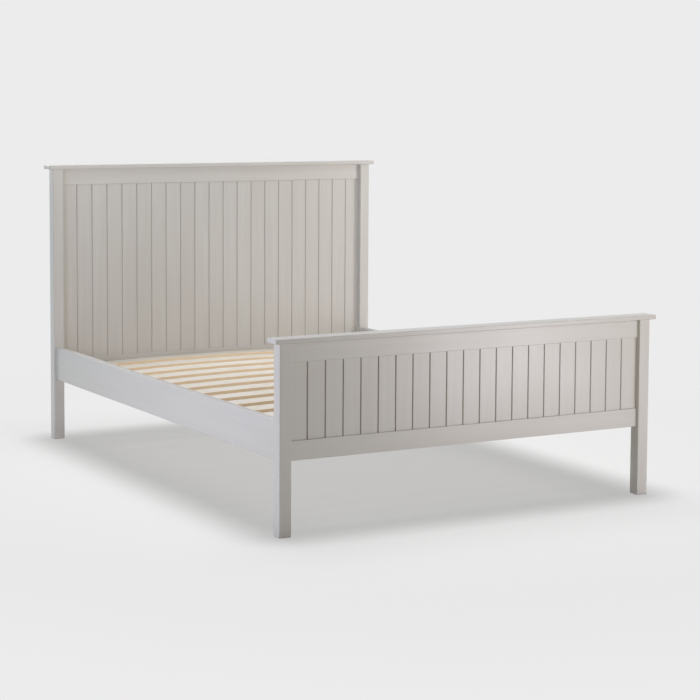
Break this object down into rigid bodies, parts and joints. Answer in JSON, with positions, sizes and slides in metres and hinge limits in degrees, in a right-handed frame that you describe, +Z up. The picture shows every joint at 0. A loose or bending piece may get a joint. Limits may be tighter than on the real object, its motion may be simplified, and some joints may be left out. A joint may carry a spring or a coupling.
{
  "type": "double bed frame",
  "caption": "Double bed frame in painted wood with a tongued and grooved headboard and footboard, square posts, flat caps, side rails and bowed slats.",
  "frame": {"origin": "on the floor under the middle of the bed", "axes": "+X across the bed to the right as seen from its foot, +Y towards the head, +Z up"},
  "size_m": [1.476, 2.009, 1.09],
  "materials": {
    "painted_wood": "soft grey satin paint over faint grain",
    "pine": "planed, unpainted",
    "slat_wood": "pale bent laminate, smooth",
    "tape": "woven webbing",
    "zinc_steel": "bright zinc plate"
  },
  "bodies": {
    "root": {"headboard_post_left": "painted_wood", "headboard_post_right": "painted_wood", "headboard_top_rail": "painted_wood", "headboard_bottom_rail": "painted_wood", "headboard_boards": "painted_wood", "headboard_cap": "painted_wood", "footboard_post_left": "painted_wood", "footboard_post_right": "painted_wood", "footboard_top_rail": "painted_wood", "footboard_bottom_rail": "painted_wood", "footboard_boards": "painted_wood", "footboard_cap": "painted_wood", "side_rail_left": "painted_wood", "side_rail_right": "painted_wood", "slat_ledge_left": "pine", "slat_ledge_right": "pine", "slat_01": "slat_wood", "slat_02": "slat_wood", "slat_03": "slat_wood", "slat_04": "slat_wood", "slat_05": "slat_wood", "slat_06": "slat_wood", "slat_07": "slat_wood", "slat_08": "slat_wood", "slat_09": "slat_wood", "slat_10": "slat_wood", "slat_11": "slat_wood", "slat_12": "slat_wood", "slat_13": "slat_wood", "slat_14": "slat_wood", "slat_tape_left": "tape", "slat_tape_right": "tape", "hook_plate_foot_left": "zinc_steel", "hook_plate_foot_right": "zinc_steel", "hook_plate_head_left": "zinc_steel", "hook_plate_head_right": "zinc_steel", "slot_plate_foot_left": "zinc_steel", "slot_plate_foot_right": "zinc_steel", "slot_plate_head_left": "zinc_steel", "slot_plate_head_right": "zinc_steel"}
  },
  "joints": []
}
